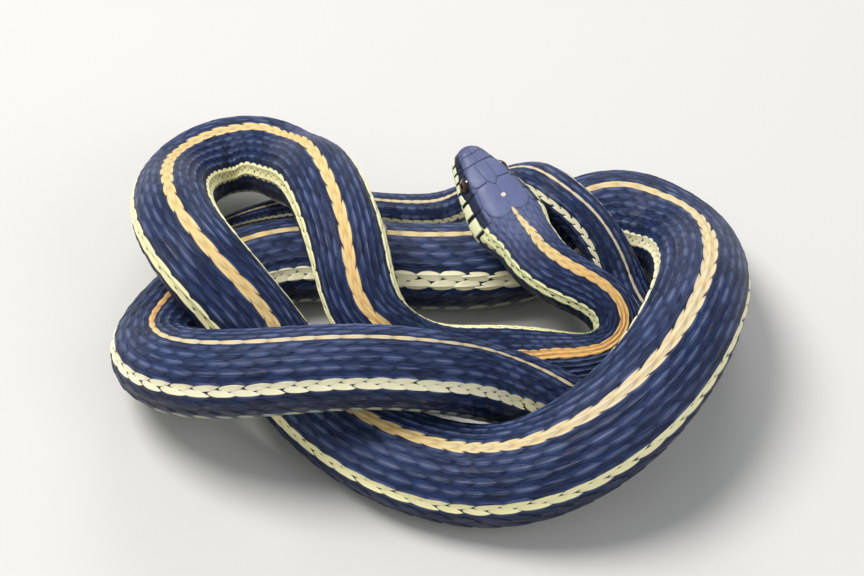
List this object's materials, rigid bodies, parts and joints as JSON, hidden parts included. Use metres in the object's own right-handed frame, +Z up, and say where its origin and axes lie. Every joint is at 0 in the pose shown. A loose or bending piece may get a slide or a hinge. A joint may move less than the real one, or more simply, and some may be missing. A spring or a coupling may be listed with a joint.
{
  "type": "coiled garter snake model",
  "caption": "Life-size resting snake lying in loose loops, head laid over its own body, with a long thin tail and a flat belly on the floor.",
  "frame": {"origin": "centre of the bounding box's floor face, where the bellies rest", "axes": "+Z up; +X along the longest extent, to the picture's right; +Y away from the picture's camera"},
  "size_m": [0.1254, 0.104, 0.0362],
  "materials": {
    "dark_skin": "satin",
    "head_skin": "satin",
    "eye": "gloss"
  },
  "bodies": {
    "root": {"head": "head_skin", "eye_left": "eye", "eye_right": "eye", "neck_01": "dark_skin", "neck_02": "dark_skin", "trunk_01": "dark_skin", "trunk_02": "dark_skin", "trunk_03": "dark_skin", "trunk_04": "dark_skin", "trunk_05": "dark_skin", "trunk_06": "dark_skin", "trunk_07": "dark_skin", "trunk_08": "dark_skin", "trunk_09": "dark_skin", "trunk_10": "dark_skin", "trunk_11": "dark_skin", "trunk_12": "dark_skin", "trunk_13": "dark_skin", "trunk_14": "dark_skin", "trunk_15": "dark_skin", "trunk_16": "dark_skin", "trunk_17": "dark_skin", "trunk_18": "dark_skin", "trunk_19": "dark_skin", "tail_01": "dark_skin", "tail_02": "dark_skin", "tail_03": "dark_skin", "tail_04": "dark_skin", "tail_tip": "dark_skin"}
  },
  "joints": []
}
